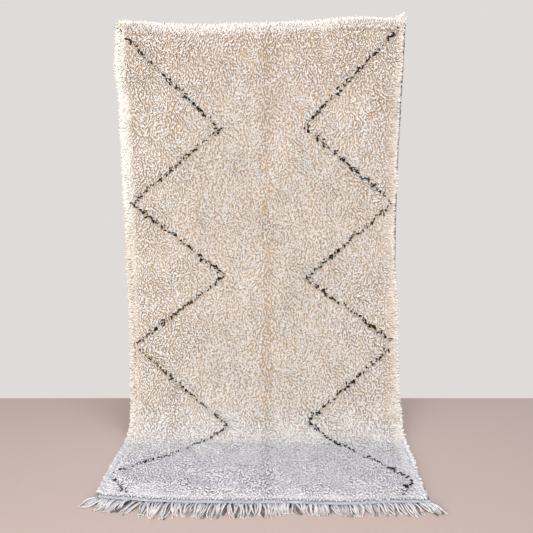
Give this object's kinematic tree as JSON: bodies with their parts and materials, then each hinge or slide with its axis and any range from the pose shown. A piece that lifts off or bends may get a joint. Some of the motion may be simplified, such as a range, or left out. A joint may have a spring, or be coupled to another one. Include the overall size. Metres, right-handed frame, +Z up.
{
  "type": "beni ourain rug",
  "caption": "Thick-pile cream wool rug hung by its top end, its foot run out on the floor, with whipped edges and a fringed end band.",
  "frame": {"origin": "middle of the rug's top edge, at its back, where it is held up; the floor is 2.175 m below", "axes": "+X to the right as one faces the pile, +Y from the pile towards what the rug hangs against, +Z up"},
  "size_m": [1.6056, 0.9586, 2.2141],
  "materials": {
    "pile_wool": "cream cut wool pile",
    "dark_wool": "dark brown-black wool knots",
    "flat_weave": "grey-white flat weave",
    "fringe_wool": "off-white plied wool",
    "edge_whipping": "dark and pale whipped yarn"
  },
  "bodies": {
    "root": {"rug_pile": "pile_wool", "head_hem": "flat_weave", "foot_fringe": "fringe_wool", "left_selvedge": "edge_whipping", "right_selvedge": "edge_whipping"}
  },
  "joints": []
}
